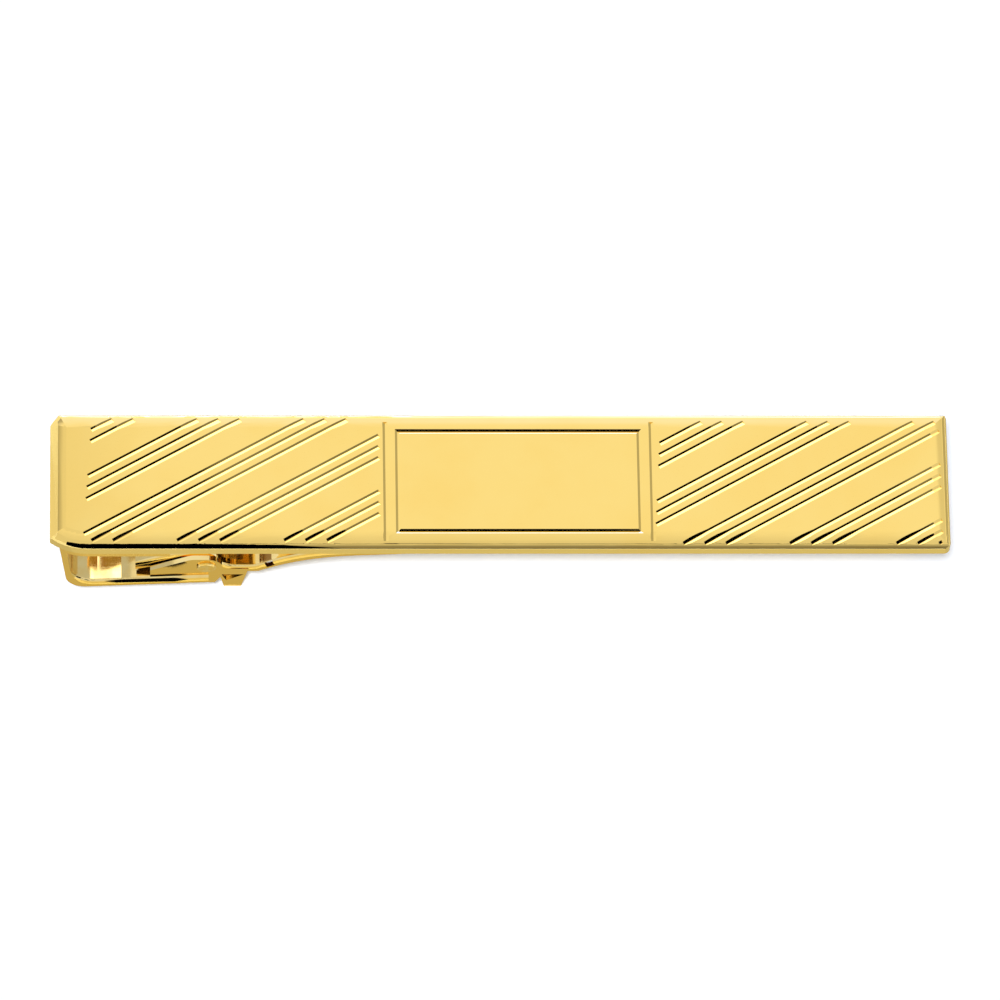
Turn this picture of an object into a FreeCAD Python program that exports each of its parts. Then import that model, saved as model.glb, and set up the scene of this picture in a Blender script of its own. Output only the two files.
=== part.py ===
import FreeCAD, Part
import math
import os
import Sketcher

# A tie clip lying face up: an engraved bar, a U-shaped bracket brazed to its back at the left end, and a
# sprung lever hinged on the bracket's ears. X runs along the bar with the hinge on the minus side, minus Y
# is the bar's lower long edge, and Z points out of the engraved face. The origin is under the middle of
# the bar, level with the foot of the thumb tab. Lengths are in millimetres and angles in degrees.

UP = FreeCAD.Vector(0, 0, 1)

DRIVING_SIZES = {
    # The bar
    "bar_length": 57.0,
    "bar_width": 9.3,
    "bar_thickness": 1.2,
    "bar_edge_radius": 0.42,
    "crown_drop": 0.15,
    "crown_slope": 12.0,
    "crown_radius": 3.0,
    "left_bevel": 0.55,
    "right_corner_radius": 0.4,
    "back_corner_run": 0.5,
    "back_corner_cut": 0.7,
    "front_corner_run": 2.4,
    "front_corner_cut": 0.77,
    # The engraving
    "groove_width": 0.3,
    "groove_slope": 30.0,
    "panel_width": 15.35,
    "panel_height": 6.97,
    "panel_shift": 1.185,
    "panel_drop": 0.13,
    "divider_gap": 0.78,
    "divider_length": 8.3,
    "stripe_angle": 30.0,
    "stripe_far_slope": 36.0,
    "stripe_near_slope": 22.0,
    "stripe_pitch": 0.78,
    "group_pitch": 3.9,
    "group_offset": 19.55,
    "stripe_divider_gap": 0.4,
    "stripe_left_margin": 2.4,
    "stripe_left_slant": 3.5,
    "stripe_right_margin": 0.52,
    "stripe_front_reach": 4.41,
    "stripe_back_reach": 4.12,
    "stripe_reach_shift": 0.1,
    # The bracket
    "bracket_sheet": 0.5,
    "bracket_side_inset": 0.05,
    "bracket_end_inset": 0.6,
    "bracket_depth": 5.2,
    "wall_lean": 5.0,
    "upper_leg_length": 7.0,
    "lower_leg_length": 9.45,
    "lower_leg_rise": 4.9,
    "leg_edge_radius": 0.4,
    "outer_bend_radius": 0.85,
    "inner_bend_radius": 1.5,
    "ear_sheet": 0.3,
    "ear_inset": 0.3,
    "ear_radius": 1.0,
    "ear_flat": 0.7,
    "ear_slope_angle": 32.0,
    "ear_slope_run": 2.33,
    "ear_drop": 2.43,
    "ear_side_drop": 1.35,
    "ear_foot_length": 0.4,
    # The hinge
    "pin_radius": 0.42,
    "pin_depth": 2.68,
    "pin_setback": 0.15,
    "pin_head_radius": 0.62,
    "pin_head_height": 0.16,
    "pin_head_rounding": 0.12,
    "pin_clearance": 0.03,
    "side_clearance": 0.1,
    # The arm
    "arm_sheet": 0.3,
    "flange_height": 0.5,
    "arm_bend_radius": 0.35,
    "knuckle_radius": 0.8,
    "tail_length": 4.5,
    "tail_drop": 0.42,
    "tail_end_height": 0.85,
    "tail_flat": 2.0,
    "tail_under_run": 0.6,
    "jaw_depth": 3.77,
    "jaw_flat_end": 2.7,
    "jaw_rise_angle": 35.0,
    "jaw_tip_angle": 3.5,
    "jaw_foot_radius": 1.2,
    "jaw_ramp_run": 1.0,
    "jaw_sweep_radius": 8.0,
    "jaw_under_radius": 11.5,
    "jaw_under_start": 0.6,
    "jaw_under_end": 0.9,
    "tip_flange_height": 0.5,
    "jaw_reach": 22.6,
    "jaw_gap": 0.05,
    "tooth_height": 0.25,
    "tooth_pitch": 0.6,
    "tooth_root_depth": 0.15,
    "relief_length": 0.6,
    "relief_width": 0.34,
    "relief_setback": 0.65,
    # The thumb tab
    "tab_depth": 6.55,
    "tab_top_length": 2.0,
    "tab_foot_length": 1.09,
    "tab_start": 0.69,
    "tab_window_drop": 0.5,
    "tab_window_height": 0.9,
    "tab_window_margin": 0.28,
    "tab_window_lean": 0.32,
    # The spring
    "spring_sheet": 0.2,
    "spring_width": 4.0,
    "spring_foot": 1.4,
    "spring_corner_gap": 0.3,
    "spring_reach": 0.6,
    "spring_tip_length": 0.5,
    "spring_rest_gap": 0.06,
}
STRIPES_EACH_SIDE = 1
GROUPS_EACH_SIDE = 2
TOOTH_COUNT = 4
LEAST_END_SHARE = 0.03


# Sizes that carry their number and their expression over the sheet


class Size:
    """A length or angle with its number and the sheet expression that gives it."""

    def __init__(self, value, text):
        self.value = value
        self.text = text

    def __add__(self, other):
        other = as_size(other)
        return Size(self.value + other.value, f"({self.text} + {other.text})")

    def __sub__(self, other):
        other = as_size(other)
        return Size(self.value - other.value, f"({self.text} - {other.text})")

    def __mul__(self, other):
        other = as_size(other)
        return Size(self.value * other.value, f"({self.text} * {other.text})")

    def __truediv__(self, other):
        other = as_size(other)
        return Size(self.value / other.value, f"({self.text} / {other.text})")

    def __neg__(self):
        return Size(-self.value, f"(-1 * {self.text})")


def as_size(number):
    return number if isinstance(number, Size) else Size(float(number), str(number))


def sine(angle):
    return Size(math.sin(math.radians(angle.value)), f"sin({angle.text})")


def cosine(angle):
    return Size(math.cos(math.radians(angle.value)), f"cos({angle.text})")


def tangent(angle):
    return Size(math.tan(math.radians(angle.value)), f"tan({angle.text})")


doc = FreeCAD.newDocument("tie_clip")
sheet = doc.addObject("Spreadsheet::Sheet", "Sizes")
size = {}
for row, (alias, number) in enumerate(DRIVING_SIZES.items(), start=1):
    sheet.set(f"A{row}", alias)
    sheet.set(f"B{row}", str(number))
    sheet.setAlias(f"B{row}", alias)
    size[alias] = Size(number, f"Sizes.{alias}")
doc.recompute()


# Sketches and features


def origin_plane(body, role):
    for plane in body.Origin.OriginFeatures:
        if plane.Role == role:
            return plane


def new_sketch(body, name, role):
    sketch = body.newObject("Sketcher::SketchObject", name)
    sketch.AttachmentSupport = [(origin_plane(body, role), "")]
    sketch.MapMode = "FlatFace"
    return sketch


def bind(sketch, constraint, expression):
    index = sketch.addConstraint(constraint)
    sketch.setExpression(f"Constraints[{index}]", expression.text)


def arc_between(start, end, radius, turn):
    """An arc of under a half circle, turning left for a turn of +1 and right for -1."""
    chord = end - start
    half = chord.Length / 2
    rise = math.sqrt(radius * radius - half * half)
    side = FreeCAD.Vector(-chord.y, chord.x, 0).normalize()
    centre = (start + end) / 2 + side * rise * turn
    first, last = (start, end) if turn > 0 else (end, start)
    first_angle = math.atan2(first.y - centre.y, first.x - centre.x)
    last_angle = math.atan2(last.y - centre.y, last.x - centre.x)
    circle = Part.Circle(centre, UP, radius)
    return Part.ArcOfCircle(circle, first_angle, last_angle)


def add_outline(sketch, corners):
    """A closed outline whose corners are bound to the sheet.

    A corner of two values starts a straight side. One of four values starts an arc, and its last two are
    the radius and the turn, +1 for left and -1 for right.
    """
    points = [FreeCAD.Vector(corner[0].value, corner[1].value, 0) for corner in corners]
    sides = []
    for index, corner in enumerate(corners):
        start = points[index]
        end = points[(index + 1) % len(points)]
        if len(corner) == 2:
            line = sketch.addGeometry(Part.LineSegment(start, end), False)
            sides.append((line, 1, 2))
        else:
            radius, turn = corner[2], corner[3]
            arc = sketch.addGeometry(arc_between(start, end, radius.value, turn), False)
            sides.append((arc, 1, 2) if turn > 0 else (arc, 2, 1))
            bind(sketch, Sketcher.Constraint("Radius", arc, radius.value), radius)
    for index, (side, start_end, far_end) in enumerate(sides):
        following, following_start, _ = sides[(index + 1) % len(sides)]
        sketch.addConstraint(Sketcher.Constraint("Coincident", side, far_end, following, following_start))
        across, along = corners[index][0], corners[index][1]
        bind(sketch, Sketcher.Constraint("DistanceX", -1, 1, side, start_end, across.value), across)
        bind(sketch, Sketcher.Constraint("DistanceY", -1, 1, side, start_end, along.value), along)


def add_circle(sketch, across, along, radius):
    centre = FreeCAD.Vector(across.value, along.value, 0)
    circle = sketch.addGeometry(Part.Circle(centre, UP, radius.value), False)
    bind(sketch, Sketcher.Constraint("DistanceX", -1, 1, circle, 3, across.value), across)
    bind(sketch, Sketcher.Constraint("DistanceY", -1, 1, circle, 3, along.value), along)
    bind(sketch, Sketcher.Constraint("Radius", circle, radius.value), radius)


def outline_sketch(body, name, role, *outlines):
    sketch = new_sketch(body, name, role)
    for corners in outlines:
        add_outline(sketch, corners)
    return sketch


def extrude(body, kind, name, sketch, length, symmetric=True, taper=None):
    """A pad or pocket of a sketch, checked to change the body's volume."""
    doc.recompute()
    before = body.Shape.Volume if body.Tip else 0.0
    feature = body.newObject(f"PartDesign::{kind}", name)
    feature.Profile = sketch
    feature.SideType = "Symmetric" if symmetric else "One side"
    feature.setExpression("Length", length.text)
    if taper is not None:
        feature.setExpression("TaperAngle", taper.text)
    doc.recompute()
    if abs(body.Shape.Volume - before) < 1e-6:
        raise ValueError(f"{name} changed nothing")


def round_edges(body, name, edges, radius):
    base = body.Tip
    fillet = body.newObject("PartDesign::Fillet", name)
    fillet.Base = (base, edges)
    fillet.setExpression("Radius", radius.text)
    doc.recompute()


def edges_at(shape, across, up):
    """Names of the edges that run along Y at a place in the side view."""
    names = []
    for number, edge in enumerate(shape.Edges, start=1):
        ends = [vertex.Point for vertex in edge.Vertexes]
        if all(math.hypot(end.x - across.value, end.z - up.value) < 1e-3 for end in ends):
            names.append(f"Edge{number}")
    return names


def level_edges(shape, level):
    """Names of the edges that lie at one height."""
    names = []
    for number, edge in enumerate(shape.Edges, start=1):
        if all(abs(vertex.Point.z - level.value) < 1e-6 for vertex in edge.Vertexes):
            names.append(f"Edge{number}")
    return names


# Places that several pieces share

bar_back = size["tab_depth"]
bar_face = bar_back + size["bar_thickness"]
bar_left = -size["bar_length"] / 2
bar_right = size["bar_length"] / 2
bar_edge = size["bar_width"] / 2
panel_left = size["panel_shift"] - size["panel_width"] / 2
panel_right = size["panel_shift"] + size["panel_width"] / 2
corner_run, corner_cut = size["front_corner_run"], size["front_corner_cut"]
corner_radius = (corner_run * corner_run + corner_cut * corner_cut) / (corner_cut * 2)
groove_depth = size["groove_width"] / 2 * tangent(size["groove_slope"])
crown_inset = size["crown_drop"] / tangent(size["crown_slope"])
crown_roll = size["crown_radius"] * tangent(size["crown_slope"] / 2)
flat_inset = crown_inset + crown_roll
left_divider = panel_left - size["divider_gap"]
right_divider = panel_right + size["divider_gap"]
wall_left = bar_left + size["bracket_end_inset"]
leg_end = wall_left + size["lower_leg_length"]
leg_foot_left = wall_left + size["bracket_depth"] * tangent(size["wall_lean"])
leg_foot_level = bar_back - size["bracket_depth"]
pin_across = leg_end - size["pin_setback"]
pin_level = bar_back - size["pin_depth"]
bracket_width = size["bar_width"] - size["bracket_side_inset"] * 2
ear_width = bracket_width - size["ear_inset"] * 2
ear_gap = ear_width - size["ear_sheet"] * 2
arm_width = ear_gap - size["side_clearance"] * 2
channel_width = arm_width - size["arm_sheet"] * 2
cut_through = size["bar_width"] * 2


def leg_under(across):
    """Level of the lower leg's outer face, which rises towards the hinge."""
    return leg_foot_level + (across - leg_foot_left) * tangent(size["lower_leg_rise"])


# The engraved bar


def make_bar_blank():
    body = doc.addObject("PartDesign::Body", "bar_blank")
    outline = [
        (bar_left, -bar_edge + corner_cut, corner_radius, 1),
        (bar_left + corner_run, -bar_edge),
        (bar_right, -bar_edge),
        (bar_right, bar_edge),
        (bar_left + size["back_corner_run"], bar_edge),
        (bar_left, bar_edge - size["back_corner_cut"]),
    ]
    crown_foot = bar_face - size["crown_drop"]
    plate = outline_sketch(body, "bar_plan", "XY_Plane", outline)
    plate.setExpression("AttachmentOffset.Base.z", bar_back.text)
    extrude(body, "Pad", "bar_plate", plate, size["bar_thickness"] - size["crown_drop"], symmetric=False)
    crown = outline_sketch(body, "crown_plan", "XY_Plane", outline)
    crown.setExpression("AttachmentOffset.Base.z", crown_foot.text)
    inward = size["crown_slope"] - 90
    extrude(body, "Pad", "bar_crown", crown, size["crown_drop"], symmetric=False, taper=inward)
    round_edges(body, "crown_rounding", level_edges(body.Shape, bar_face), size["crown_radius"])
    round_edges(body, "bar_rounding", level_edges(body.Shape, crown_foot), size["bar_edge_radius"])
    bevel = outline_sketch(
        body, "left_bevel_side", "XZ_Plane",
        [
            (bar_left, bar_face - size["left_bevel"]),
            (bar_left + size["left_bevel"], bar_face),
            (bar_left, bar_face),
        ],
    )
    extrude(body, "Pocket", "left_bevel", bevel, cut_through)
    corner = size["right_corner_radius"]
    corners = outline_sketch(
        body, "right_corners_plan", "XY_Plane",
        [
            (bar_right - corner, -bar_edge, corner, 1),
            (bar_right, -bar_edge + corner),
            (bar_right, -bar_edge),
        ],
        [
            (bar_right, bar_edge - corner, corner, 1),
            (bar_right - corner, bar_edge),
            (bar_right, bar_edge),
        ],
    )
    corners.setExpression("AttachmentOffset.Base.z", bar_face.text)
    extrude(body, "Pocket", "right_corners", corners, cut_through)
    return body


def face_point(across, along):
    """A place on the bar's face, which falls away towards its long edges and its right end."""
    inset = min(bar_edge.value - abs(along), bar_right.value - across)
    if inset > flat_inset.value:
        drop = 0.0
    elif inset > flat_inset.value - crown_roll.value * 2:
        drop = (flat_inset.value - inset) ** 2 / (size["crown_radius"].value * 2)
    else:
        drop = (crown_inset.value - inset) * math.tan(math.radians(size["crown_slope"].value))
    return FreeCAD.Vector(across, along, bar_face.value - drop)


def groove_places(start, end):
    """The ends of a straight groove, and where it leaves and meets the fall of the face."""
    run = end - start
    flat_edge = bar_edge.value - flat_inset.value
    shares = []
    if abs(run.y) > 1e-6:
        shares += [(limit - start.y) / run.y for limit in (-flat_edge, flat_edge)]
    if abs(run.x) > 1e-6:
        shares.append((bar_right.value - flat_inset.value - start.x) / run.x)
    shares = sorted(share for share in shares if LEAST_END_SHARE < share < 1 - LEAST_END_SHARE)
    bends = [start + run * share for share in shares]
    return [start] + [face_point(bend.x, bend.y) for bend in bends] + [end]


def groove(name, start, end, far_slope, near_slope):
    """A V-shaped cutter that follows the face, as far above it as below it."""
    width = size["groove_width"].value
    far = 1 / math.tan(math.radians(far_slope.value))
    near = 1 / math.tan(math.radians(near_slope.value))
    depth = width / (far + near)
    side = FreeCAD.Vector(end.x - start.x, end.y - start.y, 0).normalize().cross(UP)
    sections = []
    for place in groove_places(start, end):
        tip = place + side * (depth * far - width / 2) - UP * depth
        far_lip = tip - side * (depth * far * 2) + UP * (depth * 2)
        near_lip = tip + side * (depth * near * 2) + UP * (depth * 2)
        section = doc.addObject("Part::Feature", f"{name}_section_{len(sections) + 1}")
        section.Shape = Part.makePolygon([far_lip, tip, near_lip, far_lip])
        sections.append(section)
    cutter = doc.addObject("Part::Loft", name)
    cutter.Sections = sections
    cutter.Solid = True
    cutter.Ruled = True
    return cutter


def stripe_grooves(side, low, high, middle, shift):
    """Groups of slanted grooves between two places along the bar, shifted a little across it."""
    slope = math.tan(math.radians(size["stripe_angle"].value))
    slant = math.tan(math.radians(size["stripe_left_slant"].value))
    front = shift.value - size["stripe_front_reach"].value
    back = shift.value + size["stripe_back_reach"].value
    cutters = []
    for group in range(-GROUPS_EACH_SIDE, GROUPS_EACH_SIDE + 1):
        for stripe in range(-STRIPES_EACH_SIDE, STRIPES_EACH_SIDE + 1):
            offset = group * size["group_pitch"].value + stripe * size["stripe_pitch"].value
            crossing = middle.value + offset / slope
            limit = (low.value - crossing * slope * slant) / (1 - slope * slant)
            first = max(limit, crossing + front / slope)
            last = min(high.value, crossing + back / slope)
            if last <= first:
                continue
            start = face_point(first, (first - crossing) * slope)
            end = face_point(last, (last - crossing) * slope)
            name = f"{side}_stripe_{len(cutters) + 1}"
            cutters.append(groove(name, start, end, size["stripe_far_slope"], size["stripe_near_slope"]))
    return cutters


def frame_groove():
    """A V-shaped cutter round the plain panel."""
    low = -size["panel_height"].value / 2 - size["panel_drop"].value
    high = size["panel_height"].value / 2 - size["panel_drop"].value
    corners = [
        face_point(panel_left.value, low),
        face_point(panel_right.value, low),
        face_point(panel_right.value, high),
        face_point(panel_left.value, high),
    ]
    middle = (corners[0] + corners[3]) / 2
    across = FreeCAD.Vector(size["groove_width"].value, 0, 0)
    depth = UP * groove_depth.value
    path = doc.addObject("Part::Feature", "frame_path")
    path.Shape = Part.makePolygon([middle, corners[3], corners[2], corners[1], corners[0], middle])
    section = doc.addObject("Part::Feature", "frame_section")
    section.Shape = Part.makePolygon(
        [middle - across + depth, middle - depth, middle + across + depth, middle - across + depth]
    )
    sweep = doc.addObject("Part::Sweep", "frame_groove")
    sweep.Sections = [section]
    sweep.Spine = (path, [f"Edge{number}" for number in range(1, len(path.Shape.Edges) + 1)])
    sweep.Solid = True
    sweep.Transition = "Right corner"
    return sweep


def make_front_bar():
    half_divider = size["divider_length"].value / 2
    drop = size["panel_drop"].value
    cutters = [frame_groove()]
    for name, place in (("left_divider", left_divider), ("right_divider", right_divider)):
        start = face_point(place.value, -half_divider - drop)
        end = face_point(place.value, half_divider - drop)
        cutters.append(groove(name, start, end, size["groove_slope"], size["groove_slope"]))
    cutters += stripe_grooves(
        "left", bar_left + size["stripe_left_margin"], left_divider - size["stripe_divider_gap"],
        size["panel_shift"] - size["group_offset"], size["stripe_reach_shift"],
    )
    cutters += stripe_grooves(
        "right", right_divider + size["stripe_divider_gap"], bar_right - size["stripe_right_margin"],
        size["panel_shift"] + size["group_offset"], -size["stripe_reach_shift"],
    )
    engraving = doc.addObject("Part::MultiFuse", "engraving")
    engraving.Shapes = cutters
    bar = doc.addObject("Part::Cut", "front_bar")
    bar.Base = make_bar_blank()
    bar.Tool = engraving
    return bar


# The hinge bracket


def make_hinge_bracket():
    body = doc.addObject("PartDesign::Body", "hinge_bracket")
    gauge = size["bracket_sheet"]
    inner_foot = wall_left + gauge + (size["bracket_depth"] - gauge) * tangent(size["wall_lean"])
    inner_level = leg_under(inner_foot) + gauge
    upper_end = wall_left + size["upper_leg_length"]
    side = outline_sketch(
        body, "bracket_side", "XZ_Plane",
        [
            (wall_left, bar_back),
            (leg_foot_left, leg_foot_level),
            (leg_end, leg_under(leg_end)),
            (leg_end, leg_under(leg_end) + gauge),
            (inner_foot, inner_level),
            (wall_left + gauge, bar_back - gauge),
            (upper_end, bar_back - gauge),
            (upper_end, bar_back),
        ],
    )
    extrude(body, "Pad", "bracket_strip", side, bracket_width)
    outer_bend = edges_at(body.Shape, leg_foot_left, leg_foot_level)
    round_edges(body, "outer_bend", outer_bend, size["outer_bend_radius"])
    inner_bend = edges_at(body.Shape, inner_foot, inner_level)
    round_edges(body, "inner_bend", inner_bend, size["inner_bend_radius"])
    leg_edges = []
    for number, edge in enumerate(body.Shape.Edges, start=1):
        heights = [end.Point.z - leg_under(as_size(end.Point.x)).value for end in edge.Vertexes]
        on_inner_face = all(abs(height - gauge.value) < 1e-3 for height in heights)
        if on_inner_face and edge.BoundBox.YLength < 1e-6:
            leg_edges.append(f"Edge{number}")
    round_edges(body, "leg_edges", leg_edges, size["leg_edge_radius"])
    trim_corners(body)
    add_ears(body)
    return body


def trim_corners(body):
    """Rounds the bracket's left corners in the plan, as the bar's front corner is."""
    half = bracket_width / 2
    beyond = half + corner_cut
    corners = outline_sketch(
        body, "bracket_corners_plan", "XY_Plane",
        [
            (bar_left, -half + corner_cut, corner_radius, 1),
            (bar_left + corner_run, -half),
            (bar_left + corner_run, -beyond),
            (bar_left, -beyond),
        ],
        [
            (bar_left + corner_run, half, corner_radius, 1),
            (bar_left, half - corner_cut),
            (bar_left, beyond),
            (bar_left + corner_run, beyond),
        ],
    )
    extrude(body, "Pocket", "bracket_corners", corners, cut_through)


def add_ears(body):
    """Two ears that stand on the lower leg, a little in from its edges, and hold the pin."""
    ear_radius = size["ear_radius"]
    half_gauge = size["bracket_sheet"] / 2
    ear_right = pin_across + ear_radius
    ear_top = pin_level + ear_radius
    ear_foot = pin_level - size["ear_drop"]
    flat_end = pin_across - size["ear_flat"]
    slope_top = flat_end - ear_radius * sine(size["ear_slope_angle"])
    slope_top_level = pin_level + ear_radius * cosine(size["ear_slope_angle"])
    ear_left = slope_top - size["ear_slope_run"]
    corners = [
        (ear_right, pin_level - size["ear_side_drop"]),
        (ear_right, pin_level, ear_radius, 1),
        (pin_across, ear_top),
        (flat_end, ear_top, ear_radius, 1),
        (slope_top, slope_top_level),
        (ear_left, slope_top_level - size["ear_slope_run"] * tangent(size["ear_slope_angle"])),
        (ear_left, leg_under(ear_left) + half_gauge),
        (leg_end, leg_under(leg_end) + half_gauge),
        (leg_end, ear_foot),
        (leg_end + size["ear_foot_length"], ear_foot),
    ]
    for name, direction in (("front", 1), ("back", -1)):
        ear = outline_sketch(body, f"{name}_ear_side", "XZ_Plane", corners)
        middle = (ear_width - size["ear_sheet"]) / 2 * direction
        ear.setExpression("AttachmentOffset.Base.z", middle.text)
        extrude(body, "Pad", f"{name}_ear", ear, size["ear_sheet"])
    holes = new_sketch(body, "ear_holes_side", "XZ_Plane")
    add_circle(holes, pin_across, pin_level, size["pin_radius"])
    extrude(body, "Pocket", "ear_holes", holes, cut_through)


# The hinge pin


def make_hinge_pin():
    """A pin riveted over the outside of both ears."""
    body = doc.addObject("PartDesign::Body", "hinge_pin")
    half = ear_width / 2
    shank = new_sketch(body, "pin_section", "XZ_Plane")
    add_circle(shank, pin_across, pin_level, size["pin_radius"])
    extrude(body, "Pad", "pin_shank", shank, ear_width)
    for name, direction in (("front", 1), ("back", -1)):
        head = new_sketch(body, f"{name}_head_section", "XZ_Plane")
        add_circle(head, pin_across, pin_level, size["pin_head_radius"])
        middle = (half + size["pin_head_height"] / 2) * direction
        head.setExpression("AttachmentOffset.Base.z", middle.text)
        extrude(body, "Pad", f"{name}_head", head, size["pin_head_height"])
    rims = []
    for number, edge in enumerate(body.Shape.Edges, start=1):
        if edge.BoundBox.YLength < 1e-6 and abs(edge.BoundBox.YMin) > half.value + 1e-6:
            rims.append(f"Edge{number}")
    round_edges(body, "head_rounding", rims, size["pin_head_rounding"])
    return body


# The lever arm


def make_clip_arm():
    body = doc.addObject("PartDesign::Body", "clip_arm")
    gauge = size["arm_sheet"]
    flange = size["flange_height"]
    knuckle = size["knuckle_radius"]
    jaw_top = bar_back - size["jaw_depth"]
    jaw_bottom = jaw_top - flange
    tail_end = pin_across - size["tail_length"]
    tail_top = pin_level - size["tail_drop"]
    tail_flat_end = pin_across - size["tail_flat"]
    knuckle_top = pin_level + knuckle
    knuckle_right = pin_across + knuckle
    knuckle_drop = pin_level - jaw_top
    flat_end = pin_across + size["jaw_flat_end"]
    rise, tip_angle = size["jaw_rise_angle"], size["jaw_tip_angle"]
    foot_radius, sweep_radius = size["jaw_foot_radius"], size["jaw_sweep_radius"]
    foot_end = flat_end + foot_radius * sine(rise)
    foot_level = jaw_top + foot_radius * (as_size(1) - cosine(rise))
    ramp_end = foot_end + size["jaw_ramp_run"]
    ramp_level = foot_level + size["jaw_ramp_run"] * tangent(rise)
    sweep_end = ramp_end + sweep_radius * (sine(rise) - sine(tip_angle))
    sweep_level = ramp_level + sweep_radius * (cosine(tip_angle) - cosine(rise))
    jaw_tip = pin_across + size["jaw_reach"]
    tip_level = bar_back - size["jaw_gap"] - size["tooth_height"]
    under_start = flat_end + size["jaw_under_start"]
    under_end = sweep_end + size["jaw_under_end"]
    tip_flange = size["tip_flange_height"]
    side = outline_sketch(
        body, "arm_side", "XZ_Plane",
        [
            (tail_end, tail_top),
            (tail_end, tail_top - size["tail_end_height"]),
            (tail_flat_end + size["tail_under_run"], pin_level),
            (pin_across - knuckle, pin_level - knuckle / 2),
            (pin_across + knuckle / 2, pin_level - knuckle),
            (knuckle_right, jaw_bottom),
            (under_start, jaw_bottom, size["jaw_under_radius"], -1),
            (under_end, sweep_level - tip_flange),
            (jaw_tip, tip_level - tip_flange),
            (jaw_tip, tip_level),
            (sweep_end, sweep_level, sweep_radius, 1),
            (ramp_end, ramp_level),
            (foot_end, foot_level, foot_radius, -1),
            (flat_end, jaw_top),
            (knuckle_right + knuckle_drop, jaw_top, knuckle_drop, -1),
            (knuckle_right, pin_level, knuckle, 1),
            (pin_across, knuckle_top),
            (tail_flat_end, knuckle_top),
        ],
    )
    extrude(body, "Pad", "arm_lever", side, arm_width)
    upper_edges = []
    for number, edge in enumerate(body.Shape.Edges, start=1):
        middle = edge.valueAt((edge.FirstParameter + edge.LastParameter) / 2)
        on_side = edge.BoundBox.YLength < 1e-6
        above = FreeCAD.Vector(middle.x, 0, middle.z + gauge.value / 4)
        if on_side and edge.BoundBox.XLength > 1e-6 and not body.Shape.isInside(above, 1e-6, True):
            upper_edges.append(f"Edge{number}")
    round_edges(body, "arm_bends", upper_edges, size["arm_bend_radius"])
    channel = outline_sketch(
        body, "arm_channel_side", "XZ_Plane",
        [
            (tail_end, tail_top - gauge),
            (tail_end, as_size(0)),
            (jaw_tip, as_size(0)),
            (jaw_tip, tip_level - gauge),
            (sweep_end, sweep_level - gauge, sweep_radius, 1),
            (ramp_end, ramp_level - gauge),
            (foot_end, foot_level - gauge, foot_radius, -1),
            (flat_end, jaw_top - gauge),
            (knuckle_right + knuckle_drop, jaw_top - gauge, knuckle_drop + gauge, -1),
            (knuckle_right - gauge, pin_level, knuckle - gauge, 1),
            (pin_across, knuckle_top - gauge),
            (tail_flat_end, knuckle_top - gauge),
        ],
    )
    extrude(body, "Pocket", "arm_channel", channel, channel_width)
    pin_hole = new_sketch(body, "arm_hole_side", "XZ_Plane")
    add_circle(pin_hole, pin_across, pin_level, size["pin_radius"] + size["pin_clearance"])
    extrude(body, "Pocket", "arm_hole", pin_hole, cut_through)
    relief_across = foot_end + size["relief_setback"]
    relief_level = foot_level + size["relief_setback"] * tangent(rise) - flange / 2
    add_relief_holes(body, relief_across, relief_level, rise)
    add_thumb_tab(body, jaw_top, jaw_bottom)
    add_teeth(body, jaw_tip, tip_level)
    return body


def add_relief_holes(body, across, level, angle):
    """A small slanted hole through both flanges, where the jaw bends up."""
    along_x = size["relief_length"] / 2 * cosine(angle)
    along_z = size["relief_length"] / 2 * sine(angle)
    side_x = size["relief_width"] / 2 * sine(angle)
    side_z = size["relief_width"] / 2 * cosine(angle)
    corners = [
        (across - along_x + side_x, level - along_z - side_z),
        (across + along_x + side_x, level + along_z - side_z),
        (across + along_x - side_x, level + along_z + side_z),
        (across - along_x - side_x, level - along_z + side_z),
    ]
    holes = outline_sketch(body, "relief_side", "XZ_Plane", corners)
    extrude(body, "Pocket", "relief_holes", holes, cut_through)


def add_thumb_tab(body, jaw_top, jaw_bottom):
    """A hollow tapered tab below the arm, with the opening that its metal left in the arm's web."""
    gauge = size["arm_sheet"]
    left = pin_across + size["tab_start"]
    right = left + size["tab_top_length"]
    taper = (size["tab_top_length"] - size["tab_foot_length"]) / 2
    web_under = jaw_top - gauge
    root = jaw_top - gauge / 2
    foot = as_size(0)
    tab = outline_sketch(
        body, "tab_side", "XZ_Plane",
        [(left, root), (left + taper, foot), (right - taper, foot), (right, root)],
    )
    extrude(body, "Pad", "thumb_tab", tab, arm_width)
    hollow = outline_sketch(
        body, "tab_hollow_side", "XZ_Plane",
        [
            (left + gauge, web_under),
            (left + taper + gauge, foot + gauge),
            (right - taper - gauge, foot + gauge),
            (right - gauge, web_under),
        ],
    )
    extrude(body, "Pocket", "tab_hollow", hollow, channel_width)
    window_top = jaw_bottom - size["tab_window_drop"]
    window_left = left + size["tab_window_margin"]
    windows = outline_sketch(
        body, "tab_windows_side", "XZ_Plane",
        [
            (window_left, window_top),
            (window_left + size["tab_window_lean"], window_top - size["tab_window_height"]),
            (right - size["tab_window_margin"], window_top),
        ],
    )
    extrude(body, "Pocket", "tab_windows", windows, cut_through)
    half_opening = channel_width / 2 - gauge
    opening = outline_sketch(
        body, "web_opening_plan", "XY_Plane",
        [
            (left + gauge, -half_opening),
            (right - gauge, -half_opening),
            (right - gauge, half_opening),
            (left + gauge, half_opening),
        ],
    )
    opening.setExpression("AttachmentOffset.Base.z", jaw_top.text)
    extrude(body, "Pocket", "web_opening", opening, gauge * 4)


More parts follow.
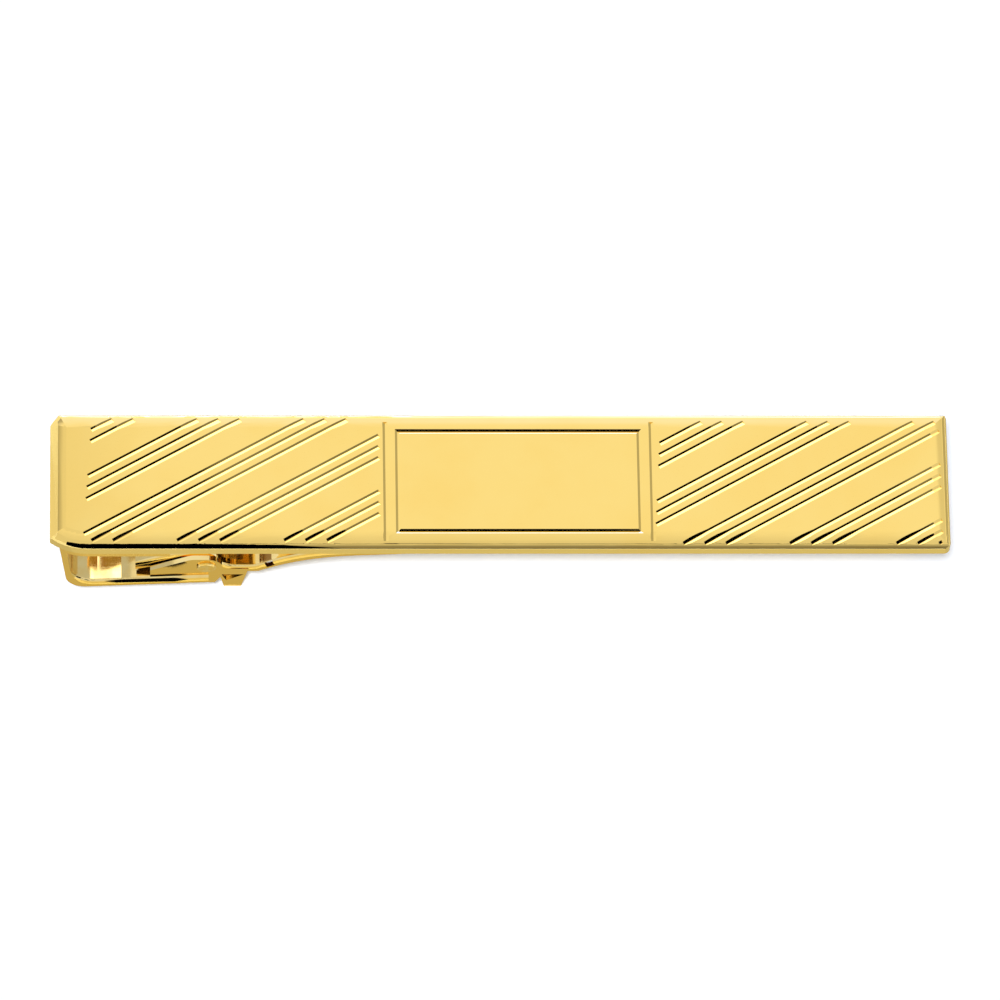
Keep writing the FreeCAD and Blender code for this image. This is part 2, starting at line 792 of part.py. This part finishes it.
def add_teeth(body, jaw_tip, tip_level):
    """A row of teeth across the jaw's tip."""
    pitch = size["tooth_pitch"]
    crest = tip_level + size["tooth_height"]
    valley = tip_level - size["tooth_root_depth"] / 2
    root = tip_level - size["tooth_root_depth"]
    corners = [(jaw_tip - pitch * TOOTH_COUNT, root), (jaw_tip, root)]
    for tooth in range(TOOTH_COUNT):
        corners.append((jaw_tip - pitch * tooth, valley))
        corners.append((jaw_tip - pitch * (tooth + 0.5), crest))
    corners.append((jaw_tip - pitch * TOOTH_COUNT, valley))
    teeth = outline_sketch(body, "teeth_side", "XZ_Plane", corners)
    extrude(body, "Pad", "teeth", teeth, arm_width)


# The leaf spring


def make_leaf_spring():
    """A bent leaf under the bracket's upper leg that presses on the arm's tail."""
    body = doc.addObject("PartDesign::Body", "leaf_spring")
    gauge = size["spring_sheet"]
    seat = bar_back - size["bracket_sheet"]
    foot_left = wall_left + size["bracket_sheet"] + size["spring_corner_gap"]
    foot_right = foot_left + size["spring_foot"]
    tail_end = pin_across - size["tail_length"]
    tail_top = pin_level - size["tail_drop"]
    tail_rise = size["tail_drop"] + size["knuckle_radius"]
    tail_slope = tail_rise / (size["tail_length"] - size["tail_flat"])
    touch = tail_end + size["spring_reach"]
    touch_level = tail_top + size["spring_reach"] * tail_slope + size["spring_rest_gap"]
    tip = touch + size["spring_tip_length"]
    tip_level = touch_level + size["spring_tip_length"] * tail_slope * 2
    side = outline_sketch(
        body, "spring_side", "XZ_Plane",
        [
            (foot_left, seat),
            (foot_left, seat - gauge),
            (foot_right, seat - gauge),
            (touch, touch_level),
            (tip, tip_level),
            (tip, tip_level + gauge),
            (touch, touch_level + gauge),
            (foot_right, seat),
        ],
    )
    extrude(body, "Pad", "spring_leaf", side, size["spring_width"])
    return body


# The finished pieces

pieces = [
    make_front_bar(),
    make_hinge_bracket(),
    make_hinge_pin(),
    make_clip_arm(),
    make_leaf_spring(),
]
doc.recompute()
for item in doc.Objects:
    if "Invalid" in item.State or "Error" in item.State:
        raise ValueError(f"{item.Label} failed: {item.State}")
for piece in pieces:
    if piece.Shape.isNull() or not piece.Shape.isValid():
        raise ValueError(f"{piece.Label} has no valid shape")
os.makedirs("parts", exist_ok=True)
for piece in pieces:
    piece.Shape.exportStep(f"parts/{piece.Label}.step")
    box = piece.Shape.BoundBox
    print(piece.Label, len(piece.Shape.Solids), round(piece.Shape.Volume, 3), box)
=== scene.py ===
import math

import bmesh
import bpy
from mathutils import Matrix, Vector


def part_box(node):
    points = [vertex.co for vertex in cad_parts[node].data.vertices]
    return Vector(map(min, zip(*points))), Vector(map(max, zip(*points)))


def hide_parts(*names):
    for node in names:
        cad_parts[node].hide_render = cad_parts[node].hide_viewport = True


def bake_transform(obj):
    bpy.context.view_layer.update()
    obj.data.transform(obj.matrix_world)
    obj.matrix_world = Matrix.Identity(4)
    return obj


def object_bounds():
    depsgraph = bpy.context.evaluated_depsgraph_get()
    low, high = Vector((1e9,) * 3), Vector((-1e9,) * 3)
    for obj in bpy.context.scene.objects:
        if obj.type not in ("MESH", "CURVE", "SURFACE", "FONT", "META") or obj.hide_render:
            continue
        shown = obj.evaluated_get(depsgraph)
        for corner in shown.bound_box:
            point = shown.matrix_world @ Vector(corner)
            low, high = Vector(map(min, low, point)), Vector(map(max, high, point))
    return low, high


# A polished gold tie clip on white: the solids keep their shapes and get metal finishes, and the leaf
# spring is made again as a bent strip. Lengths are in metres, except in the light cards, whose corners
# are in millimetres from the middle of the bar's face.

MM = 0.001

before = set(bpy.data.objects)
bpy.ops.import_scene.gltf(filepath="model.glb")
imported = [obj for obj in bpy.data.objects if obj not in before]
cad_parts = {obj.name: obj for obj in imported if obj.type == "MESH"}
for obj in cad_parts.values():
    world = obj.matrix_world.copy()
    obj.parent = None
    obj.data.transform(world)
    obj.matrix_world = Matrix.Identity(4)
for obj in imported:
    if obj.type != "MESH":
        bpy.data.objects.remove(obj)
cad_low, cad_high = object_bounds()
bar_low, bar_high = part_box("front_bar")
bracket_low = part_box("hinge_bracket")[0]
spring_low, spring_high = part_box("leaf_spring")
bar_middle = Vector((0, 0, bar_high.z))

# The camera's view: where it stands, how far off it is and how much it takes in
VIEW_AZIMUTH = -5
VIEW_ELEVATION = 65
VIEW_DISTANCE = 0.62
VIEW_WIDTH = 63.36 * MM
VIEW_SHIFT_RIGHT = -0.012 * MM
VIEW_SHIFT_DOWN = 1.32 * MM

# Metals as they reflect white light
GOLD_PALE = (0.985, 0.725, 0.225)
GOLD_DEEP = (0.98, 0.70, 0.20)
BRACKET_PALE = (0.97, 0.78, 0.35)
BRACKET_DEEP = (0.94, 0.70, 0.26)
# Deeper gold, as gold looks when it reflects gold: painted reflection on the bracket's and arm's sides,
# and a tone of the pin's ends
DEEP_REFLECTED_GOLD = (0.97, 0.62, 0.11)
# Brown for painted shade inside the U and in the arm's slot
SHADE_BROWN = (0.32, 0.17, 0.045)
SPRING_PALE = (0.86, 0.70, 0.42)
SPRING_DEEP = (0.74, 0.57, 0.31)

# Polishing lines, drawn out along the bar
LINE_WIDTH = 0.06 * MM
LINE_STRETCH = (0.03, 1, 1)

# Painted shade on the stamped sheet: on the wall inside the U, and in the slot across the arm
WALL_SHADE_START = bracket_low.x + 0.3 * MM
WALL_SHADE_END = bracket_low.x + 1.3 * MM
SHADE_GRIT = 0.35 * MM
SLOT_ALONG = (-15.0 * MM, -14.1 * MM)
SLOT_HEIGHT = (2.9 * MM, 3.5 * MM)
SLOT_SOFTNESS = 0.05 * MM

# The leaf spring's strip
SPRING_SHEET = 0.2 * MM
SPRING_FOOT = 1.4 * MM
SPRING_TIP = 0.5 * MM
SPRING_TIP_LIFT = 0.44 * MM
SPRING_FOOT_BEND = 0.9 * MM
SPRING_TIP_BEND = 0.3 * MM
SPRING_BEND_STEPS = 8
SPRING_EDGE_ROUND = 0.03 * MM

# Light: colours, the lamp, the world's share of plain light, and the floor's own glow and reach
WHITE = (1.0, 1.0, 1.0)
COOL_WHITE = (0.97, 1.03, 1.5)
COLD_WHITE = (0.45, 0.68, 2.2)
WARM_GREY = (1.0, 0.96, 0.7)
FLOOR_WHITE = (0.81, 0.86, 0.97)
DARK = 0.0
LAMP_AZIMUTH = -12
LAMP_ELEVATION = 67
LAMP_STRENGTH = 2.5
LAMP_SPREAD = 7
WORLD_FILL = 0.3
FLOOR_GLOW = 0.2
FLOOR_REACH = 1.5

# Light cards, in millimetres: how far they stand from the bar's front edge, its ends and the floor
CARD_EDGE_GAP = 0.35
CARD_STRIP_GAP = 0.55
CARD_LEFT_INSET = 0.7
CARD_RIGHT_OVERHANG = 0.5
CARD_FLOOR_GAP = 0.05

# Parts of the room, each named for what shows it on the clip: how bright it is, its limits from left to
# right and from low to high in a unit direction, its soft edge, and its side of the bar
BEHIND = 1
AHEAD = -1
ROOM_PARTS = {
    "stripes_dark_side": (0.25, (0.45, 0.66), (0.56, 0.66), 0.025, AHEAD),
    "left_of_face": (0.86, (-0.3, -0.012), (0.86, 0.95), 0.014, BEHIND),
    "left_crown": (0.38, (-0.55, -0.28), (0.76, 0.9), 0.14, BEHIND),
    "right_crown": (0.78, (0.36, 0.6), (0.72, 0.88), 0.14, BEHIND),
    "right_end": (0.5, (0.74, 1.0), (-0.2, 0.55), 0.06, BEHIND),
    "left_bevel": (0.87, (-1.0, -0.86), (-0.2, 0.2), 0.06, BEHIND),
    "back_edge": (1.6, (-0.12, 0.1), (0.39, 0.49), 0.03, BEHIND),
    "stripes_pale_side": (2.8, (-0.3, -0.16), (0.37, 0.45), 0.03, BEHIND),
    "panel_frame_pale_side": (3.6, (-0.04, 0.11), (0.03, 0.16), 0.02, BEHIND),
}


# Nodes


class Nodes:
    """Short calls for building a material's or the world's node tree."""

    def __init__(self, tree):
        self.tree = tree

    def add(self, kind, **settings):
        node = self.tree.nodes.new(kind)
        for name, value in settings.items():
            setattr(node, name, value)
        return node

    def link(self, output, socket):
        self.tree.links.new(output, socket)

    def coordinates(self, scale):
        """Object coordinates stretched by a scale for each axis."""
        source = self.add("ShaderNodeTexCoord")
        mapping = self.add("ShaderNodeMapping")
        mapping.inputs["Scale"].default_value = scale
        self.link(source.outputs["Object"], mapping.inputs["Vector"])
        return mapping.outputs["Vector"]

    def separate(self, vector):
        """The X, Y and Z parts of a vector."""
        parts = self.add("ShaderNodeSeparateXYZ")
        self.link(vector, parts.inputs["Vector"])
        return [parts.outputs[axis] for axis in "XYZ"]

    def noise(self, feature, stretch=(1, 1, 1), detail=3.0, rough=0.55):
        """Noise whose blobs are about the given size across."""
        texture = self.add("ShaderNodeTexNoise")
        texture.inputs["Scale"].default_value = 1.0
        texture.inputs["Detail"].default_value = detail
        texture.inputs["Roughness"].default_value = rough
        scale = [part / feature for part in stretch]
        self.link(self.coordinates(scale), texture.inputs["Vector"])
        return texture.outputs["Fac"]

    def spread(self, value, low, high, to_low, to_high):
        """A value moved smoothly from one range to another."""
        spread = self.add("ShaderNodeMapRange", interpolation_type="SMOOTHSTEP")
        limits = (low, high, to_low, to_high)
        for name, limit in zip(("From Min", "From Max", "To Min", "To Max"), limits):
            spread.inputs[name].default_value = limit
        self.link(value, spread.inputs["Value"])
        return spread.outputs["Result"]

    def math(self, operation, first, second):
        node = self.add("ShaderNodeMath", operation=operation)
        for socket, value in zip(node.inputs, (first, second)):
            if isinstance(value, (int, float)):
                socket.default_value = value
            else:
                self.link(value, socket)
        return node.outputs["Value"]

    def product(self, first, *others):
        """Two or more numbers multiplied together."""
        for other in others:
            first = self.math("MULTIPLY", first, other)
        return first

    def window(self, value, low, high, soft):
        """1 between two limits, fading to 0 over a soft edge outside them."""
        after = self.spread(value, low - soft, low, 0, 1)
        before = self.spread(value, high, high + soft, 1, 0)
        return self.product(after, before)

    def blend(self, factor, first, second):
        """A number between two numbers, each given or another node's output."""
        change = self.math("SUBTRACT", second, first)
        return self.math("ADD", first, self.product(factor, change))

    def mix(self, factor, first, second):
        """A colour between two colours, each a triple or another node's output."""
        node = self.add("ShaderNodeMix", data_type="RGBA")
        self.link(factor, node.inputs["Factor"])
        for name, colour in (("A", first), ("B", second)):
            socket = next(s for s in node.inputs if s.name == name and s.type == "RGBA")
            if isinstance(colour, tuple):
                socket.default_value = (*colour, 1)
            else:
                self.link(colour, socket)
        return next(s for s in node.outputs if s.type == "RGBA")


def new_material(name):
    material = bpy.data.materials.new(name)
    material.use_nodes = True
    nodes = Nodes(material.node_tree)
    return material, nodes, material.node_tree.nodes["Principled BSDF"]


# Metals


def polished_metal(name, pale, deep, cloud, gloss, scratch):
    """Polished metal with clouds of colour and gloss, and hair-fine polishing lines along the bar.

    cloud is the clouds' size, gloss the least and most roughness, and scratch the lines' depth.
    """
    material, nodes, shader = new_material(name)
    shader.inputs["Metallic"].default_value = 1.0
    clouds = nodes.noise(cloud)
    colour = nodes.mix(nodes.spread(clouds, 0.3, 0.7, 0, 1), pale, deep)
    nodes.link(colour, shader.inputs["Base Color"])
    lines = nodes.noise(LINE_WIDTH, stretch=LINE_STRETCH, detail=2.0)
    cloud_haze = nodes.spread(clouds, 0.3, 0.7, 0, 0.5)
    line_haze = nodes.spread(lines, 0.4, 0.8, 0, 0.5)
    haze = nodes.math("ADD", cloud_haze, line_haze)
    nodes.link(nodes.spread(haze, 0, 1, *gloss), shader.inputs["Roughness"])
    bump = nodes.add("ShaderNodeBump")
    bump.inputs["Strength"].default_value = 1.0
    bump.inputs["Distance"].default_value = scratch
    nodes.link(lines, bump.inputs["Height"])
    nodes.link(bump.outputs["Normal"], shader.inputs["Normal"])
    return material, nodes, shader


def gold_plate():
    """The bar's mirror polish."""
    material, _, _ = polished_metal(
        "polished_gold_plate",
        GOLD_PALE,
        GOLD_DEEP,
        cloud=5 * MM,
        gloss=(0.035, 0.075),
        scratch=0.00003 * MM,
    )
    return material


def stamped_gold():
    """Plate on stamped sheet, deeper on its sides by painted reflection, with painted shade inside the U
    and in the arm's slot.
    """
    material, nodes, shader = polished_metal(
        "stamped_gold_sheet",
        BRACKET_PALE,
        BRACKET_DEEP,
        cloud=1.2 * MM,
        gloss=(0.08, 0.2),
        scratch=0.0001 * MM,
    )
    colour = shader.inputs["Base Color"].links[0].from_socket
    along, _, height = nodes.separate(nodes.add("ShaderNodeTexCoord").outputs["Object"])
    facing_along, facing_across, _ = nodes.separate(nodes.add("ShaderNodeNewGeometry").outputs["Normal"])
    sideways = nodes.math("ABSOLUTE", facing_across, 0)
    # Painted reflection: faces turned to the front and back take a deeper gold
    colour = nodes.mix(nodes.spread(sideways, 0.5, 0.8, 0, 1), colour, DEEP_REFLECTED_GOLD)
    # Painted shade: brown on the U's inner wall, broken up by grit, and a dark patch over the arm's slot
    near_wall = nodes.spread(along, WALL_SHADE_START, WALL_SHADE_END, 1, 0)
    inward = nodes.spread(facing_along, 0.3, 0.8, 0, 1)
    grit = nodes.spread(nodes.noise(SHADE_GRIT, detail=6.0, rough=0.7), 0.35, 0.65, 0.05, 0.5)
    wall_shade = nodes.product(near_wall, inward, grit)
    slot_shade = nodes.product(
        nodes.window(along, *SLOT_ALONG, SLOT_SOFTNESS),
        nodes.window(height, *SLOT_HEIGHT, SLOT_SOFTNESS),
        nodes.spread(sideways, 0.2, 0.4, 1, 0),
    )
    painted_shade = nodes.math("MAXIMUM", wall_shade, slot_shade)
    nodes.link(nodes.mix(painted_shade, colour, SHADE_BROWN), shader.inputs["Base Color"])
    return material


def rivet_gold():
    """The pin's upset ends, as deep as the bracket's sides."""
    material, _, _ = polished_metal(
        "rivet_gold",
        BRACKET_DEEP,
        DEEP_REFLECTED_GOLD,
        cloud=0.5 * MM,
        gloss=(0.08, 0.2),
        scratch=0.0001 * MM,
    )
    return material


def spring_metal():
    """Gold-flashed spring steel, the dullest of the metals."""
    material, _, _ = polished_metal(
        "spring_strip",
        SPRING_PALE,
        SPRING_DEEP,
        cloud=0.8 * MM,
        gloss=(0.14, 0.3),
        scratch=0.0002 * MM,
    )
    return material


# The leaf spring


def strip_line():
    """Points along the middle of the strip in the side view, with round bends."""
    top = spring_high.z - SPRING_SHEET / 2
    start = Vector((spring_low.x, top))
    bend = Vector((spring_low.x + SPRING_FOOT, top))
    touch = Vector((spring_high.x - SPRING_TIP, spring_low.z + SPRING_SHEET / 2))
    tip = Vector((spring_high.x, touch.y + SPRING_TIP_LIFT))
    points = [start]
    bends = ((bend, start, touch, SPRING_FOOT_BEND), (touch, bend, tip, SPRING_TIP_BEND))
    for corner, before, after, reach in bends:
        first = corner + (before - corner).normalized() * reach
        last = corner + (after - corner).normalized() * reach
        for step in range(SPRING_BEND_STEPS + 1):
            share = step / SPRING_BEND_STEPS
            points.append(first.lerp(corner, share).lerp(corner.lerp(last, share), share))
    points.append(tip)
    return points


def strip_mesh(points):
    """A strip of the spring's sheet along a line, as wide as the spring."""
    build = bmesh.new()
    edges = ((spring_low.y, 1), (spring_high.y, 1), (spring_high.y, -1), (spring_low.y, -1))
    rows = []
    for index, point in enumerate(points):
        following = points[min(index + 1, len(points) - 1)]
        previous = points[max(index - 1, 0)]
        along = (following - previous).normalized()
        out = Vector((-along.y, along.x)) * SPRING_SHEET / 2
        row = []
        for across, side in edges:
            place = point + out * side
            row.append(build.verts.new((place.x, across, place.y)))
        rows.append(row)
    for first, second in zip(rows, rows[1:]):
        for corner in range(len(edges)):
            turned = (corner + 1) % len(edges)
            build.faces.new((first[corner], first[turned], second[turned], second[corner]))
    build.faces.new(rows[0][::-1])
    build.faces.new(rows[-1])
    bmesh.ops.recalc_face_normals(build, faces=build.faces)
    mesh = bpy.data.meshes.new("spring_leaf")
    build.to_mesh(mesh)
    build.free()
    return mesh


def make_leaf_spring(material):
    """The bent strip, made in place of the leaf spring's solid, which is hidden."""
    mesh = strip_mesh(strip_line())
    mesh.materials.append(material)
    leaf = bpy.data.objects.new("spring_leaf", mesh)
    bpy.context.scene.collection.objects.link(leaf)
    bevel = leaf.modifiers.new("soft_edges", "BEVEL")
    bevel.width = SPRING_EDGE_ROUND
    bevel.segments = 2
    bevel.limit_method = "ANGLE"
    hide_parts("leaf_spring")
    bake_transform(leaf)


# Light and surroundings


def glossy_only(thing):
    """Lets a card show in reflections without lighting the floor or hiding the object."""
    thing.visible_camera = False
    thing.visible_diffuse = False
    thing.visible_shadow = False
    thing.visible_transmission = False


def card(name, corners, strength, colour=WHITE):
    """A flat glowing card with its corners given from the middle of the bar's face, in millimetres."""
    material = bpy.data.materials.new(name)
    material.use_nodes = True
    nodes = Nodes(material.node_tree)
    material.node_tree.nodes.remove(material.node_tree.nodes["Principled BSDF"])
    glow = nodes.add("ShaderNodeEmission")
    glow.inputs["Color"].default_value = (*colour, 1)
    glow.inputs["Strength"].default_value = strength
    nodes.link(glow.outputs["Emission"], material.node_tree.nodes["Material Output"].inputs["Surface"])
    mesh = bpy.data.meshes.new(name)
    places = [bar_middle + Vector(corner) * MM for corner in corners]
    mesh.from_pydata(places, [], [range(len(places))])
    mesh.materials.append(material)
    board = bpy.data.objects.new(name, mesh)
    bpy.context.scene.collection.objects.link(board)
    glossy_only(board)


def rectangle(left, right, low, high):
    """The corners of a rectangle between two limits each way, in its own plane."""
    return [(left, low), (right, low), (right, high), (left, high)]


def make_overhead_cards():
    """Dark cards high up in front of the clip, for the dark sides of its grooves."""
    height = 150
    outlines = {
        "left_stripes": [
            (95, -115), (112, -115), (122, -145), (118, -170), (68, -170), (78, -140), (95, -136),
        ],
        "right_stripes": [
            (152, -118), (173, -118), (188, -138), (186, -170), (112, -170), (130, -141), (152, -137),
        ],
        "panel_frame": rectangle(-14, 34, -97, -113),
    }
    for name, outline in outlines.items():
        card(f"{name}_dark", [(x, y, height) for x, y in outline], DARK)


def make_edge_cards():
    """Cards close to the bar's front edge: dark along its left, and paler in steps up its right."""
    front = bar_low.y / MM - CARD_EDGE_GAP
    left_end = bar_low.x / MM + CARD_LEFT_INSET
    right_end = bar_high.x / MM + CARD_RIGHT_OVERHANG
    slant = ((-10, -0.78), (-10.4, -0.55), (-12.6, -0.1), (-14.6, 0.3))
    low = slant[0][1]
    high = 0.6
    dark = [(left_end, low), slant[0], slant[1], (-14, 0.2), (-19, high), (left_end, high)]
    card("front_edge_left", [(x, front, z) for x, z in dark], DARK)
    steps = {"low": 0.05, "middle": 0.3, "high": 0.52}
    for (name, strength), lower, upper in zip(steps.items(), slant, slant[1:]):
        outline = [lower, (right_end, lower[1]), (right_end, upper[1]), upper]
        card(f"front_edge_{name}", [(x, front, z) for x, z in outline], strength)


def make_floor_cards():
    """Grey cards on the floor that only reflections show: a painted shadow of the clip on the floor, for
    the clip's upright sides.
    """
    level = (cad_low.z - bar_high.z) / MM + CARD_FLOOR_GAP
    right_end = bar_high.x / MM + CARD_RIGHT_OVERHANG
    reach = 45
    middle = -7.2
    outlines = {
        "near": (rectangle(-reach, reach, middle, -3.95), 0.6),
        "side": (rectangle(-reach, reach, -8.05, middle), 0.68),
        "right_end": (rectangle(right_end, 60, -3.9, 30), 0.6),
    }
    for name, (outline, strength) in outlines.items():
        card(f"floor_{name}", [(x, y, level) for x, y in outline], strength, WARM_GREY)


def make_bracket_cards():
    """A dark card for the lower leg's edge, and glowing cards inside the U that only reflections show:
    painted reflection of light on its floor and its wall.
    """
    front = bar_low.y / MM - CARD_STRIP_GAP
    strip = [(-24.4, -5.9), (-20.6, -5.9), (-19.8, -5.3), (-20.8, -4.3), (-24.2, -4.3), (-25.2, -5.3)]
    card("bracket_strip_dark", [(x, front, z) for x, z in strip], DARK)
    near = -4.5
    far = 4.2
    roof = -1.95
    limits = (-27.2, -25.2, -24.3, -18)
    inner_glow = {"left": 1.7, "glint": 2.4, "right": 0.9}
    for (name, strength), left, right in zip(inner_glow.items(), limits, limits[1:]):
        outline = rectangle(left, right, near, far)
        card(f"bracket_lining_{name}", [(x, y, roof) for x, y in outline], strength)
    # Painted reflection: a glowing card across the U, for its wall
    mouth = -24
    mouth_glow = 0.55
    outline = rectangle(near, far, -5.6, roof)
    card("bracket_mouth_pale", [(mouth, y, z) for y, z in outline], mouth_glow)


def make_world():
    """White all round, with paler and darker parts of the room that only the polished metal shows."""
    world = bpy.data.worlds.new("white_room")
    bpy.context.scene.world = world
    world.use_nodes = True
    nodes = Nodes(world.node_tree)
    backdrop = world.node_tree.nodes["Background"]
    across, along, height = nodes.separate(nodes.add("ShaderNodeTexCoord").outputs["Generated"])
    path = nodes.add("ShaderNodeLightPath")
    glossy = path.outputs["Is Glossy Ray"]

    def share_in(x_limits, z_limits, soft, side):
        """1 in one part of the room, fading to 0 round it."""
        facing = nodes.spread(nodes.product(along, side), 0, 0.05, 0, 1)
        return nodes.product(
            nodes.window(across, *x_limits, soft), nodes.window(height, *z_limits, soft), facing
        )

    front_to_top = nodes.spread(along, -0.05, 0.42, 0.8, 1.0)
    top_to_back = nodes.spread(along, 0.42, 0.75, 0, 0.1)
    strength = nodes.math("ADD", front_to_top, top_to_back)
    for brightness, *place in ROOM_PARTS.values():
        strength = nodes.blend(share_in(*place), strength, brightness)
    seen = nodes.math("MAXIMUM", path.outputs["Is Camera Ray"], path.outputs["Is Transmission Ray"])
    plain = nodes.blend(seen, WORLD_FILL, 1.0)
    nodes.link(nodes.blend(glossy, plain, strength), backdrop.inputs["Strength"])

    upper_back = nodes.product(
        glossy, nodes.spread(along, 0.44, 0.75, 0, 1), nodes.window(height, 0.6, 0.9, 0.06)
    )
    colour = nodes.mix(upper_back, WHITE, COOL_WHITE)
    _, *frame_place = ROOM_PARTS["panel_frame_pale_side"]
    colour = nodes.mix(nodes.product(glossy, share_in(*frame_place)), colour, COLD_WHITE)
    nodes.link(colour, backdrop.inputs["Color"])


def background_share(nodes):
    """1 for rays that show the background: the camera's, and those reflected or let through."""
    path = nodes.add("ShaderNodeLightPath")
    seen = nodes.math("MAXIMUM", path.outputs["Is Camera Ray"], path.outputs["Is Glossy Ray"])
    return nodes.math("MAXIMUM", seen, path.outputs["Is Transmission Ray"])


def make_floor():
    """A white floor that shows the shadow, with a share of its own glow where it is seen."""
    material, nodes, shader = new_material("white_floor")
    shader.inputs["Base Color"].default_value = (*FLOOR_WHITE, 1)
    shader.inputs["Roughness"].default_value = 0.9
    shader.inputs["Specular IOR Level"].default_value = 0.0
    shader.inputs["Emission Color"].default_value = (*WHITE, 1)
    nodes.link(nodes.product(background_share(nodes), FLOOR_GLOW), shader.inputs["Emission Strength"])
    mesh = bpy.data.meshes.new("floor")
    outline = rectangle(-FLOOR_REACH, FLOOR_REACH, -FLOOR_REACH, FLOOR_REACH)
    mesh.from_pydata([(x, y, 0) for x, y in outline], [], [range(len(outline))])
    mesh.materials.append(material)
    floor = bpy.data.objects.new("floor", mesh)
    floor.location.z = cad_low.z
    bpy.context.scene.collection.objects.link(floor)


def direction(azimuth, elevation):
    """A unit vector: azimuth 0 is towards the camera's side, 90 is to the right, 180 is behind."""
    turn = math.radians(azimuth)
    rise = math.radians(elevation)
    return Vector((math.sin(turn) * math.cos(rise), -math.cos(turn) * math.cos(rise), math.sin(rise)))


def make_key_light():
    """A soft lamp a little above the camera's line, so that the shadow shows close below the clip."""
    lamp = bpy.data.lights.new("key_light", "SUN")
    lamp.energy = LAMP_STRENGTH
    lamp.angle = math.radians(LAMP_SPREAD)
    key = bpy.data.objects.new("key_light", lamp)
    key.rotation_mode = "QUATERNION"
    key.rotation_quaternion = direction(LAMP_AZIMUTH, LAMP_ELEVATION).to_track_quat("Z", "Y")
    key.visible_glossy = False
    bpy.context.scene.collection.objects.link(key)


def make_camera():
    """A camera that keeps the bar level across the picture."""
    back = direction(VIEW_AZIMUTH, VIEW_ELEVATION)
    up = back.cross(Vector((1, 0, 0))).normalized()
    right = up.cross(back)
    target = bar_middle + right * VIEW_SHIFT_RIGHT - up * VIEW_SHIFT_DOWN
    lens = bpy.data.cameras.new("camera")
    lens.sensor_width = 36
    lens.lens = lens.sensor_width * VIEW_DISTANCE / VIEW_WIDTH
    lens.clip_start = 0.01
    lens.clip_end = 10
    camera = bpy.data.objects.new("camera", lens)
    turn = Matrix((right, up, back)).transposed()
    camera.matrix_world = Matrix.Translation(target + back * VIEW_DISTANCE) @ turn.to_4x4()
    bpy.context.scene.collection.objects.link(camera)
    bpy.context.scene.camera = camera


# The scene

bpy.context.scene.view_settings.view_transform = "Standard"
sheet_gold = stamped_gold()
finishes = {
    "front_bar": gold_plate(),
    "hinge_bracket": sheet_gold,
    "clip_arm": sheet_gold,
    "hinge_pin": rivet_gold(),
}
for node, material in finishes.items():
    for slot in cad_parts[node].material_slots:
        slot.material = material
make_leaf_spring(spring_metal())
make_world()
make_floor()
make_key_light()
make_overhead_cards()
make_edge_cards()
make_bracket_cards()
make_floor_cards()
make_camera()
